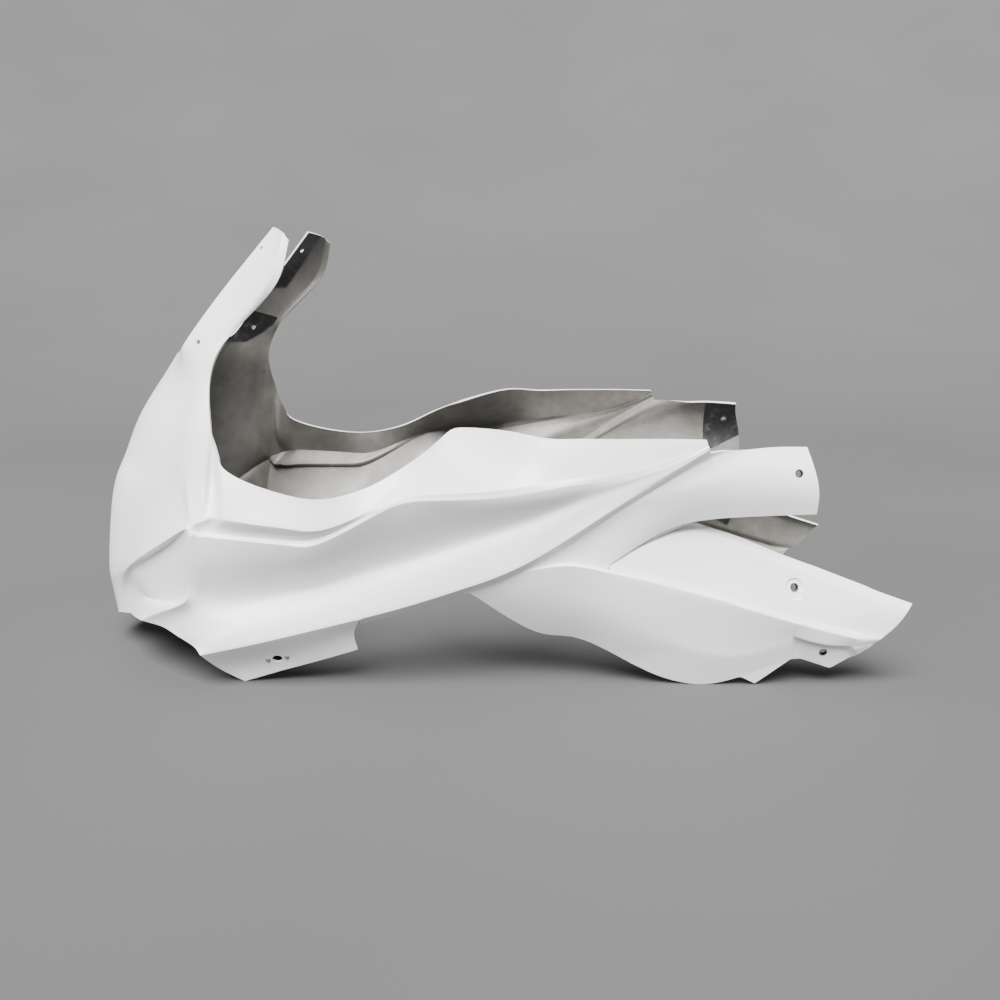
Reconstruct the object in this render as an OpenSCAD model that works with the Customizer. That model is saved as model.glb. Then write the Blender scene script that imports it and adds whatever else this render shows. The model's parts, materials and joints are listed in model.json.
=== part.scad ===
// Upper fairing of a sports motorcycle: one hollow glass-fibre moulding with two screen arms,
// side panels, rear tails and lower panels, with its bonded patches and its fixings.
// Nose at -X, tail at +X, the rider's left side at -Y, Z up from the lowest point.
// A station is [x, half width, z] in mm. Each named line is a feature of the left side, read from
// the nose to the tail, and the right side is its mirror image.

/* [Overall] */
// Length from the nose to the rear tips
fairing_l = 909; // [820:1:1000]
// Width over the side creases
fairing_w = 454; // [400:1:520]
// Height from the lower edges to the arm tops
fairing_h = 484; // [440:1:530]

/* [Laminate] */
// Wall of the glass-fibre moulding
wall = 2.5; // [2:0.1:4]
// Thickness of the bonded carbon patches
patch_t = 0.8; // [0.5:0.1:1.5]

/* [Screen holes] */
// Holes in the arms for the windscreen screws
screen_hole_d = 5.5; // [4:0.1:8]

/* [Inserts] */
// Bore of the metal inserts, clear of an M6 screw
insert_bore_d = 6.5; // [5:0.1:8]
// Outer diameter of the metal inserts
insert_d = 9; // [9:0.1:12]
// How far an insert stands out of the inner face
insert_proud = 1; // [0.5:0.1:3]

/* [Quarter-turn receptacles] */
// Hole in the tab for the quarter-turn stud
stud_hole_d = 11; // [9:0.1:14]
// Bore of the receptacle
receptacle_bore_d = 8; // [6:0.1:8.5]
// Thickness of the receptacle's plate
receptacle_t = 1.5; // [1:0.1:2.5]
// Distance between the two rivets
rivet_pitch = 21; // [18:0.5:26]
// Diameter of a rivet's shank
rivet_d = 3.2; // [2.4:0.1:4]
// Diameter of a rivet's head
rivet_head_d = 5.5; // [4.5:0.1:7]
// Height of a rivet's head
rivet_head_t = 0.8; // [0.5:0.1:1.5]

/* [Hidden] */
left = -1;
right = 1;
drawn_l = 909;
drawn_mid = 3.5;
drawn_w = 454;
drawn_h = 484;
front = -1;
rear = 1;
cut = 30;
fit = 0.05;
rivet_tilt = 12;
round_fn = 48;
hole_fn = 20;
rivet_fn = 16;
collar_l = 4;

// Arms, from the top down to the bottom of the screen opening: front edge to rear edge
arm_top = [[-219, 106, 484], [-210, 122, 481], [-203, 136, 477], [-197, 141, 470]];
arm_4 = [[-229, 109, 472], [-217, 126, 468], [-207, 142, 462], [-200, 145, 454]];
arm_3 = [[-248, 114, 449], [-235, 129, 445], [-215, 147, 436], [-208, 148, 430]];
arm_2 = [[-273, 118, 419], [-259, 129, 415], [-237, 143, 408], [-230, 142, 404]];
arm_1 = [[-299, 121, 386], [-285, 131, 382], [-268, 140, 378], [-260, 141, 375]];

// Front panel and side, from the screen opening down to the side's lower edge
opening = [[-352, 0, 345], [-341, 62, 348], [-326, 103, 354], [-317, 121, 362], [-300, 135, 355],
           [-287, 143, 350], [-276, 148, 353]];
brow = [[-371, 0, 317], [-358, 65, 319], [-335, 105, 321], [-317, 127, 322], [-299, 144, 320],
        [-290, 151, 319], [-284, 152, 322]];
rim = [[-401, 0, 272], [-388, 70, 274], [-352, 118, 275], [-328, 140, 276], [-306, 160, 278],
       [-297, 167, 277], [-279, 174, 276], [-277, 175, 262], [-271, 183, 247], [-262, 188, 238],
       [-234, 198, 226], [-195, 210, 217], [-159, 219, 215], [-116, 213, 225], [-82, 199, 242],
       [-55, 168, 257], [-29, 121, 272], [27, 182, 279], [65, 206, 275], [98, 209, 275],
       [130, 211, 275], [190, 210, 275], [227, 209, 274]];
shoulder = [[-418, 0, 228], [-407, 70, 228], [-358, 128, 226], [-335, 149, 229], [-314, 167, 231],
            [-304, 176, 229], [-285, 187, 225], [-281, 177, 223], [-269, 193, 222],
            [-258, 198, 218], [-231, 207, 208], [-193, 215, 204], [-157, 221, 203],
            [-112, 219, 214], [-80, 210, 229], [-52, 190, 240], [-22, 160, 252], [30, 200, 256],
            [70, 214, 258], [100, 215, 259], [131, 215, 260], [188, 212, 267], [228, 209.5, 272.5]];
upper_crease = [[-433, 0, 188], [-420, 70, 190], [-371, 124, 193], [-342, 149, 199],
                [-313, 178, 192], [-300, 196, 190], [-287, 200, 187], [-275, 201, 192],
                [-266, 206, 191], [-257, 210, 191], [-228, 217, 188], [-192, 222, 185],
                [-156, 225, 185], [-108, 225, 206], [-78, 225, 218], [-48, 225, 222],
                [-11, 225, 224], [33, 225, 229], [79, 222, 236], [107, 221, 239], [135, 219, 243],
                [185, 214, 255], [228.5, 210, 271]];
groove = [[-449, 0, 106], [-436, 58, 108], [-404, 99, 110], [-368, 142, 137], [-324, 183, 167],
          [-301, 202, 181], [-293, 194, 176], [-285, 194, 175], [-277, 195, 173], [-261, 200, 173],
          [-232, 206, 172], [-194, 212, 171], [-161, 217, 176], [-108, 224, 202], [-77, 225, 215],
          [-47, 225, 219], [-11, 225.5, 220], [33, 225.5, 224], [79, 225, 232], [107, 222, 235],
          [135, 219.5, 239], [185, 215, 252], [228.8, 210, 270]];
lower_crease = [[-300, 203, 172], [-291, 203, 172], [-284, 203, 172], [-275, 204, 171],
                [-259, 206, 170], [-231, 211, 168], [-194, 216, 166], [-163, 220, 169],
                [-108, 226, 198], [-76, 227, 212], [-46, 227, 215], [-10, 227, 216], [33, 227, 220],
                [78, 226, 228], [107, 223, 232], [135, 220, 235], [185, 215.5, 249],
                [229, 210, 269]];
flank = [[-304, 196, 140], [-296, 196, 139], [-288, 196, 139], [-278, 196, 139], [-259, 197, 138],
         [-231, 200, 139], [-197, 204, 141], [-164, 207, 146], [-115, 211, 170], [-76, 214, 184],
         [-40, 216, 195], [-6, 219, 201], [33, 221, 207], [76, 222, 216], [105, 221, 224],
         [135, 219.5, 230], [187, 216, 247], [229.5, 210, 268]];
hollow = [[-309, 190, 111], [-301, 187, 106], [-294, 184, 104], [-285, 182, 100], [-265, 181, 100],
          [-237, 181, 103], [-202, 183, 110], [-168, 186, 117], [-118, 190, 136], [-78, 194, 148],
          [-34, 198, 163], [-2, 202, 174], [35, 207, 187], [74, 213, 202], [104, 217, 214],
          [136, 218, 225], [188, 216, 245], [230, 211, 267]];
flare = [[-316, 190, 96], [-310, 188, 91], [-303, 187, 85], [-292, 187, 81], [-271, 187, 79],
         [-239, 188, 86], [-202, 190, 96], [-168, 192, 106], [-121, 196, 121], [-77, 200, 135],
         [-28, 204, 152], [2, 208, 163], [35, 211, 175], [71, 215, 190], [103, 217, 205],
         [136, 218, 218], [188, 216, 242], [230, 211, 266]];
skirt = [[-348, 163, 78], [-336, 169, 73], [-323, 178, 69], [-308, 186, 64], [-290, 192, 58],
         [-267, 196, 63], [-222, 198, 76], [-179, 200, 88], [-123, 203, 103], [-76, 206, 116],
         [-22, 209, 134], [6, 212, 145], [36, 214, 157], [67, 216, 173], [101, 217, 192],
         [136, 218, 213], [189, 216, 240], [231, 211, 265]];
edge = [[-383, 124, 55], [-366, 140, 57], [-346, 158, 58], [-327, 175, 54], [-308, 186, 47],
        [-299, 193, 39], [-244, 200, 53], [-190, 203, 67], [-127, 205, 83], [-74, 207, 99],
        [-16, 210, 119], [10, 213, 129], [36, 215, 141], [63, 216, 156], [99, 218, 180],
        [136, 218, 205], [189, 215, 238], [231, 211, 264]];

// Joggle under the side's lower edge, which the tail and the lower panel start from
step = [[-129, 190, 73], [-76, 195, 89], [-13, 200, 111], [14, 203, 122], [40, 206, 134],
        [67, 208, 149], [104, 210, 175], [140, 210, 200], [193, 208, 234], [233, 206, 260]];

// Nose below the duct pocket's edge
nose_mid = [[-451, 0, 74], [-440, 47, 77], [-420, 73, 80]];
nose_low = [[-448, 0, 24], [-441, 30, 32], [-433, 50, 40]];

// Duct pocket beside the nose, from the bottom up: foot of its overhang and of its ledge
pocket_root = [[-414, 68, 45], [-408, 79, 82], [-396, 101, 106], [-361, 139, 132], [-319, 180, 161]];
pocket_floor = [[-400, 92, 48], [-383, 108, 77], [-357, 138, 79], [-319, 175, 102],
                [-312, 188, 140]];

// Fixing tab under the side
tab_mid = [[-284, 175, 17], [-237, 180, 30], [-188, 185, 43], [-135, 190, 63]];
tab_low = [[-259, 168, 0], [-217, 172, 14], [-175, 176, 27], [-133, 180, 41]];

// Rear tail, from its top edge down
tail_top = [[233, 206, 260], [250, 199, 261], [262, 195, 261], [277, 190, 261], [294, 186, 262],
            [315, 181, 262], [338, 176, 261]];
tail_2 = [[193, 208, 234], [216, 206, 243], [231, 204, 246], [253, 201, 247], [279, 198, 248],
          [309, 194, 248], [341, 190, 247]];
tail_3 = [[140, 210, 200], [165, 210, 212], [184, 209, 218], [215, 207, 226], [255, 204, 231],
          [300, 200, 232], [345, 196, 231]];
tail_4 = [[104, 210, 175], [130, 209, 184], [150, 208, 190], [192, 205, 203], [235, 202, 210],
          [290, 200, 214], [348, 196, 213]];
tail_low = [[67, 208, 149], [100, 207, 149], [132, 206, 142], [170, 200, 166], [216, 195, 185],
            [284, 193, 191], [348, 191, 193]];

// Lower panel, from its top edge down past its ridge to the recessed pad and the low edge
panel_top = [[136, 202, 148], [171, 194, 163], [220, 177, 180], [268, 173, 166], [311, 172, 148],
             [351, 172, 133], [359, 172, 130], [387, 172, 119], [413, 173, 109], [422, 174, 105],
             [460, 178, 92]];
panel_lip = [[136, 203, 146.5], [174, 197, 159], [221, 186, 173], [267, 182, 159], [308, 181, 141],
             [347, 181, 125], [354, 181, 122], [381, 181, 111], [407, 182, 101], [416, 182, 98],
             [453, 184, 84]];
panel_valley = [[135, 204, 144.5], [176, 200, 145], [222, 194, 142], [262, 191, 131],
                [303, 190, 116], [342, 189, 103], [349, 189, 100], [377, 188, 90], [400, 187, 83],
                [408, 187, 81], [443, 185, 70]];
ridge_top = [[67, 208, 149], [100, 207, 149], [132, 206, 142], [175, 205, 132], [213, 204, 121],
             [250, 203, 110], [285, 202, 99], [330, 199, 85], [338, 198, 83], [368, 195, 74],
             [393, 191.5, 67.5], [402, 190, 65], [431, 186, 59]];
ridge_low = [[40, 206, 134], [88, 211, 143], [131, 210, 135], [175, 209, 124], [213, 208, 113],
             [250, 207, 103], [285, 206, 92], [330, 203, 78], [338, 202, 76], [367, 199, 67],
             [392, 195.5, 60], [400, 194, 58], [425, 188, 55]];
panel_mid = [[14, 203, 122], [75, 196, 98], [115, 199, 92], [160, 199, 76], [203, 197, 62],
             [244, 195, 52], [283, 194, 49], [328, 197, 62], [336, 196.5, 60], [365, 195, 52],
             [390, 191, 49], [398, 190, 47], [420, 187, 51]];
pad_line = [[-13, 200, 111], [57, 173, 59], [101, 176, 54], [151, 177, 30], [200, 191, 44],
            [243, 191, 36], [282, 191, 37], [329, 194, 53], [338, 190, 54], [366, 188, 47],
            [389, 185, 43], [399, 189, 44], [419, 187, 50]];
panel_low = [[172, 177, 19], [200, 177, 7], [241, 177, 0], [279, 181, 10], [331, 186, 32],
             [344, 181, 31], [376, 179, 20], [396, 180, 32], [404, 184, 37], [416, 186, 46]];

belly_tab = [[296, 179, 2], [307, 181, 11]];

// Stations where the fixings sit
screen_hole_top = [-231, 119, 463];
screen_hole_low = [-299, 133, 366];
tail_fixing = [326, 196, 237];
panel_fixing = [331, 189, 114];
pad_fixing = [366, 185, 40];
tab_fixing = [-220, 178, 31];

// Outlines of the bonded patches as seen from the side: [x, z]
arm_outline = [[-235, 492], [-203, 482], [-247, 424], [-254, 416], [-285, 416], [-275, 440]];
screen_outline = [[-305, 390], [-268, 377], [-273, 370], [-289, 358], [-309, 347], [-332, 350],
                  [-336, 372]];
tail_outline = [[299, 270], [352, 270], [352, 217], [316, 199], [299, 192]];
panel_outline = [[337, 88], [297, 109], [310, 149], [350, 128]];

// Length from one index of a line to another
function part_of(line, first, last) = [for (i = [first : last]) line[i]];

// Blocks of the surface: each is a list of lines with as many stations in each
pocket_lip = [edge[0], skirt[0], flare[0], hollow[0], flank[0]];
pocket_brow = [nose_low[2], nose_mid[2], groove[2], groove[3], groove[4]];
blocks = [
    [arm_top, arm_4, arm_3, arm_2, arm_1, part_of(opening, 3, 6)],
    [opening, brow, part_of(rim, 0, 6)],
    [rim, shoulder, upper_crease, groove],
    [part_of(groove, 0, 2), nose_mid, nose_low],
    [part_of(groove, 5, 22), lower_crease, flank, hollow, flare, skirt, edge],
    [pocket_brow, pocket_root, pocket_floor, pocket_lip],
    [[groove[4], groove[5]], [pocket_root[4], lower_crease[0]]],
    [[pocket_root[4], lower_crease[0]], [pocket_floor[4], flank[0]]],
    [part_of(edge, 8, 17), step],
    [part_of(edge, 5, 8), tab_mid, tab_low],
    [tail_top, tail_2, tail_3, tail_4, tail_low],
    [ridge_top, ridge_low, panel_mid, pad_line],
    [panel_top, panel_lip, panel_valley, part_of(ridge_top, 2, 12)],
    [part_of(pad_line, 3, 12), panel_low],
    [part_of(panel_low, 3, 4), belly_tab]];

// Lines that stay creases
function across(rows, i) = [for (row = rows) row[i]];
pillar = [brow, rim, shoulder, upper_crease];
creases = [part_of(groove, 2, 5), [groove[2], nose_mid[2], nose_low[2]],
           part_of(upper_crease, 5, 12), part_of(groove, 6, 12),
           part_of(lower_crease, 0, 13), edge, step, pocket_root, part_of(pocket_floor, 0, 3),
           concat(pocket_lip, [lower_crease[0]]), part_of(ridge_low, 0, 11),
           across([arm_top, arm_4, arm_3, arm_2], 2), across(pillar, 4), across(pillar, 5),
           across([rim, shoulder, upper_crease], 6), part_of(panel_lip, 1, 9),
           part_of(panel_mid, 7, 11), part_of(pad_line, 8, 10), part_of(panel_low, 3, 4),
           [panel_mid[7], pad_line[7], panel_low[4]], [pad_line[8], panel_low[5]],
           [pad_line[10], panel_low[7]], [panel_mid[11], pad_line[11], panel_low[8]]];

// Mesh of one block: its cells as four corner stations, clockwise seen from outside
function cells(block) = [for (r = [0 : len(block) - 2]) for (c = [0 : len(block[0]) - 2])
    [block[r][c], block[r][c + 1], block[r + 1][c + 1], block[r + 1][c]]];

// A station as a point on one side of the fairing
function point(s, side) = [(s[0] - drawn_mid) * fairing_l / drawn_l, side * s[1] * fairing_w / drawn_w,
                           s[2] * fairing_h / drawn_h];
function placed(cell, side) = side == left ? [for (s = cell) point(s, left)]
    : [point(cell[3], right), point(cell[2], right), point(cell[1], right), point(cell[0], right)];

// Number that only equal points share, to a tenth of a millimetre
function name_of(p) = (round(p[0] * 10) + 20000) * 1e10 + (round(p[1] * 10) + 20000) * 1e5
    + round(p[2] * 10) + 20000;

corners = [for (side = [left, right]) for (b = blocks) for (cell = cells(b)) each placed(cell, side)];
corner_names = [for (p = corners) name_of(p)];
first_same = search(corner_names, corner_names);
is_new = [for (i = [0 : len(corners) - 1]) first_same[i] == i ? 1 : 0];
new_corners = [for (i = [0 : len(corners) - 1]) if (is_new[i] == 1) i];
net_points = [for (i = new_corners) corners[i]];
corner_rank = search(first_same, new_corners);
net_faces = [for (f = [0 : len(corners) / 4 - 1]) [for (k = [0 : 3]) corner_rank[4 * f + k]]];

// Edges of the net: each face side has the number of its edge
function edge_name(a, b) = min(a, b) * 100000 + max(a, b);
side_names = [for (f = net_faces) for (k = [0 : 3]) edge_name(f[k], f[(k + 1) % 4])];
twins = search(side_names, side_names, 0);
edge_sides = [for (i = [0 : len(twins) - 1]) if (twins[i][0] == i) i];
side_edge = search([for (t = twins) t[0]], edge_sides);
net_names = [for (p = net_points) name_of(p)];
crease_names = [for (side = [left, right]) for (line = creases) for (i = [0 : len(line) - 2])
    let (ends = search([name_of(point(line[i], side)), name_of(point(line[i + 1], side))], net_names))
    edge_name(ends[0], ends[1])];
is_crease = [for (i = edge_sides) len(twins[i]) == 1 || len(search(side_names[i], crease_names, 0)) > 0
    ? 1 : 0];

// Sides that leave and reach each point
face_corners = [for (f = net_faces) each f];
sides_of = search([for (i = [0 : len(net_points) - 1]) i], face_corners, 0);
function before(i) = floor(i / 4) * 4 + (i + 3) % 4;
function mean(points) = [for (a = [0 : 2]) [for (p = points) p[a]] * [for (p = points) 1]] / len(points);

// One step of subdivision of a net of these faces, with its creases kept
function side_start(i) = face_corners[i];
function side_end(i) = net_faces[floor(i / 4)][(i + 1) % 4];
function face_middles(net) = [for (f = net_faces) mean([for (i = f) net[i]])];
function new_edge_point(e, net, middles) =
    let (i = edge_sides[e], middle = (net[side_start(i)] + net[side_end(i)]) / 2)
    is_crease[e] == 1 ? middle
        : (middle + (middles[floor(i / 4)] + middles[floor(twins[i][1] / 4)]) / 2) / 2;
function new_point(v, net, middles) =
    let (out = sides_of[v], inward = [for (i = out) before(i)], here = net[v], n = len(out),
         crease_out = [for (i = out) if (is_crease[side_edge[i]] == 1) net[side_end(i)]],
         open_in = [for (i = inward) if (len(twins[i]) == 1) net[side_start(i)]],
         sharp = concat(crease_out, open_in))
    len(sharp) == 2 && n > 1 ? (here * 6 + sharp[0] + sharp[1]) / 8
        : len(sharp) > 1 ? here
        : (mean([for (i = out) middles[floor(i / 4)]])
           + mean([for (i = out) (here + net[side_end(i)]) / 2]) * 2 + here * (n - 3)) / n;
function new_points(net, middles) = [for (v = [0 : len(net) - 1]) new_point(v, net, middles)];

// Net moved out by what the subdivision draws in, so that the skin passes through the stations
function moved_out(net) = net + net_points - new_points(net, face_middles(net));
cage = moved_out(moved_out(net_points));
face_points = face_middles(cage);
edge_points = [for (e = [0 : len(edge_sides) - 1]) new_edge_point(e, cage, face_points)];
vertex_points = new_points(cage, face_points);
n_v = len(vertex_points);
n_e = len(edge_points);
skin_points = concat(vertex_points, edge_points, face_points);
skin_faces = [for (f = [0 : len(net_faces) - 1]) for (k = [0 : 3])
    [net_faces[f][k], n_v + side_edge[4 * f + k], n_v + n_e + f, n_v + side_edge[before(4 * f + k)]]];

// Outward normals of the faces and of the points
function unit(v) = norm(v) > 0 ? v / norm(v) : v;
function facing(f) = cross(skin_points[f[3]] - skin_points[f[1]], skin_points[f[2]] - skin_points[f[0]]);
face_normals = [for (f = skin_faces) facing(f)];
skin_corners = [for (f = skin_faces) each f];
around = search([for (i = [0 : len(skin_points) - 1]) i], skin_corners, 0);
normals = [for (a = around) unit(mean([for (i = a) unit(face_normals[floor(i / 4)])]))];

// Closed sheet between two depths under the skin, of the faces that are listed
module sheet(faces, top, bottom) {
    used = [for (f = faces) each skin_faces[f]];
    firsts = search(used, used);
    kept = [for (i = [0 : len(used) - 1]) if (firsts[i] == i) i];
    rank = search(firsts, kept);
    n = len(kept);
    above = [for (i = kept) skin_points[used[i]] - normals[used[i]] * top];
    below = [for (i = kept) skin_points[used[i]] - normals[used[i]] * bottom];
    sides = [for (f = [0 : len(faces) - 1]) for (k = [0 : 3])
        edge_name(rank[4 * f + k], rank[4 * f + (k + 1) % 4])];
    pairs = search(sides, sides, 0);
    open = [for (i = [0 : len(sides) - 1]) if (len(pairs[i]) == 1) i];
    polyhedron(concat(above, below), concat(
        [for (f = [0 : len(faces) - 1]) each
            [[rank[4 * f], rank[4 * f + 1], rank[4 * f + 2]],
             [rank[4 * f], rank[4 * f + 2], rank[4 * f + 3]]]],
        [for (f = [0 : len(faces) - 1]) each
            [[n + rank[4 * f], n + rank[4 * f + 2], n + rank[4 * f + 1]],
             [n + rank[4 * f], n + rank[4 * f + 3], n + rank[4 * f + 2]]]],
        [for (i = open) let (a = rank[i], b = rank[floor(i / 4) * 4 + (i + 1) % 4]) each
            [[b, a, n + a], [b, n + a, n + b]]]));
}

all_faces = [for (f = [0 : len(skin_faces) - 1]) f];
face_centres = [for (f = skin_faces) mean([for (i = f) skin_points[i]])];

// Faces of some cells of a block, from one row and column to another
function columns(b) = len(blocks[b][0]) - 1;
function first_cell(b) = b == 0 ? 0 : first_cell(b - 1) + (len(blocks[b - 1]) - 1) * columns(b - 1);
function faces_of(b, rows, cols, side) =
    let (start = first_cell(b) + (side == left ? 0 : len(net_faces) / 2))
    [for (r = [rows[0] : rows[1]]) for (c = [cols[0] : cols[1]]) for (k = [0 : 3])
        4 * (start + r * columns(b) + c) + k];

// Place and outward direction of the skin at a station
function seat(s, side) =
    let (p = point(s, side), far = [for (c = face_centres) norm(c - p)],
         f = search(min(far), far)[0], n = unit(face_normals[f]))
    [p - n * ((p - face_centres[f]) * n), n];
module at_seat(s, side) {
    place = seat(s, side);
    n = place[1];
    translate(place[0]) rotate([0, acos(n[2]), atan2(n[1], n[0])]) rotate([0, 0, 180]) children();
}

module hole(s, side, d) {
    at_seat(s, side) cylinder(h = 2 * cut, d = d, center = true, $fn = hole_fn);
}

// Seat of the receptacle, turned along the tab's lower edge, and seats of its two rivets
module at_receptacle(side) {
    at_seat(tab_fixing, side) rotate([0, 0, -rivet_tilt * side]) children();
}
module at_rivet(side, end) {
    at_receptacle(side) translate([0, side * end * rivet_pitch / 2, 0]) children();
}

module fairing_shell() {
    color("white") difference() {
        sheet(all_faces, 0, wall);
        for (side = [left, right]) {
            hole(screen_hole_top, side, screen_hole_d);
            hole(screen_hole_low, side, screen_hole_d);
            hole(tail_fixing, side, insert_d + fit);
            hole(panel_fixing, side, insert_d + fit);
            hole(pad_fixing, side, insert_d + fit);
            hole(tab_fixing, side, stud_hole_d);
            for (end = [front, rear])
                at_rivet(side, end) cylinder(h = 2 * cut, d = rivet_d + fit, center = true, $fn = rivet_fn);
        }
    }
}

module sleeve(s, side, depth) {
    at_seat(s, side) difference() {
        translate([0, 0, -depth]) cylinder(h = depth, d = insert_d, $fn = round_fn);
        cylinder(h = 2 * cut, d = insert_bore_d, center = true, $fn = round_fn);
    }
}

// Fixing patches: carbon sheets bonded to the inner face, cut to an outline seen from the side
module patch(faces, outline) {
    ends = [for (q = outline) point([q[0], 0, q[1]], left)];
    color("dimgray") difference() {
        intersection() {
            sheet(faces, wall, wall + patch_t);
            rotate([90, 0, 0]) linear_extrude(height = 2 * fairing_w, center = true)
                polygon([for (q = ends) [q[0], q[2]]]);
        }
        children();
    }
}
module arm_patch(side) {
    patch(faces_of(0, [0, 3], [0, 2], side), arm_outline) hole(screen_hole_top, side, screen_hole_d);
}
module screen_patch(side) {
    patch(concat(faces_of(0, [3, 4], [0, 2], side), faces_of(1, [0, 0], [2, 5], side)), screen_outline)
        hole(screen_hole_low, side, screen_hole_d);
}
module tail_patch(side) {
    patch(faces_of(10, [0, 3], [3, 5], side), tail_outline) hole(tail_fixing, side, insert_d + fit);
}
module panel_patch(side) {
    patch(faces_of(12, [0, 2], [2, 7], side), panel_outline) hole(panel_fixing, side, insert_d + fit);
}

module tail_insert(side) {
    color("silver") sleeve(tail_fixing, side, wall + patch_t + insert_proud);
}
module panel_insert(side) {
    color("silver") sleeve(panel_fixing, side, wall + patch_t + insert_proud);
}
module pad_insert(side) {
    color("silver") sleeve(pad_fixing, side, wall + insert_proud);
}

// Receptacle: a lozenge plate with a collar, riveted to the inner face of the tab
module receptacle(side) {
    color("black") difference() {
        at_receptacle(side) {
            translate([0, 0, -wall - receptacle_t]) hull() {
                cylinder(h = receptacle_t, d = stud_hole_d + 3, $fn = round_fn);
                for (end = [front, rear]) translate([0, end * rivet_pitch / 2, 0])
                    cylinder(h = receptacle_t, d = rivet_head_d + 2, $fn = round_fn);
            }
            translate([0, 0, -wall - receptacle_t - collar_l])
                cylinder(h = collar_l, d = stud_hole_d, $fn = round_fn);
        }
        hole(tab_fixing, side, receptacle_bore_d);
        for (end = [front, rear])
            at_rivet(side, end) cylinder(h = 2 * cut, d = rivet_d + fit, center = true, $fn = rivet_fn);
    }
}

// Rivet: an outer head, a shank through the tab and the plate, and its upset end
module rivet(side, end) {
    grip = wall + receptacle_t;
    color("silver") at_rivet(side, end) {
        cylinder(h = rivet_head_t, d1 = rivet_head_d, d2 = rivet_head_d - 1.5, $fn = rivet_fn);
        translate([0, 0, -grip - rivet_head_t])
            cylinder(h = grip + rivet_head_t, d = rivet_d, $fn = rivet_fn);
        translate([0, 0, -grip - rivet_head_t]) cylinder(h = rivet_head_t, d = rivet_d + 1.4, $fn = rivet_fn);
    }
}

fairing_shell();
arm_patch(left);  // arm_patch_left
arm_patch(right);  // arm_patch_right
screen_patch(left);  // screen_patch_left
screen_patch(right);  // screen_patch_right
tail_patch(left);  // tail_patch_left
tail_patch(right);  // tail_patch_right
panel_patch(left);  // panel_patch_left
panel_patch(right);  // panel_patch_right
tail_insert(left);  // tail_insert_left
tail_insert(right);  // tail_insert_right
panel_insert(left);  // panel_insert_left
panel_insert(right);  // panel_insert_right
pad_insert(left);  // pad_insert_left
pad_insert(right);  // pad_insert_right
receptacle(left);  // receptacle_left
receptacle(right);  // receptacle_right
rivet(left, front);  // front_rivet_left
rivet(right, front);  // front_rivet_right
rivet(left, rear);  // rear_rivet_left
rivet(right, rear);  // rear_rivet_right
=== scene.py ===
import json
import math

import bmesh
import bpy
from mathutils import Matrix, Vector
from mathutils.bvhtree import BVHTree


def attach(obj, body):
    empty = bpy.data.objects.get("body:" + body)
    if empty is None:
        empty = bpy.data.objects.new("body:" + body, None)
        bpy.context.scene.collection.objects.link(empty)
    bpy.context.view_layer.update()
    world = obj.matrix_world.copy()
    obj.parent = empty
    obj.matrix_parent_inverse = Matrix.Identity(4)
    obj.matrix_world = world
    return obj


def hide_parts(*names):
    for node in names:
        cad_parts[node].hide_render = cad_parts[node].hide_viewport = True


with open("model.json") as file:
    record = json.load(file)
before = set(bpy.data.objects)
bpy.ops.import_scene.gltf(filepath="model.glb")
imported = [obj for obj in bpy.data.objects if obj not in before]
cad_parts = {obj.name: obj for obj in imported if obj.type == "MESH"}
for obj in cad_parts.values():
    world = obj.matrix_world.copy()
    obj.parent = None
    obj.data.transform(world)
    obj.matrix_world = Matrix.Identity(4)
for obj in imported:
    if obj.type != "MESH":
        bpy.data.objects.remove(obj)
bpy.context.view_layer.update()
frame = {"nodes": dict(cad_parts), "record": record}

mm = 0.001
sides = {"left": -1, "right": 1}

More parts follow.
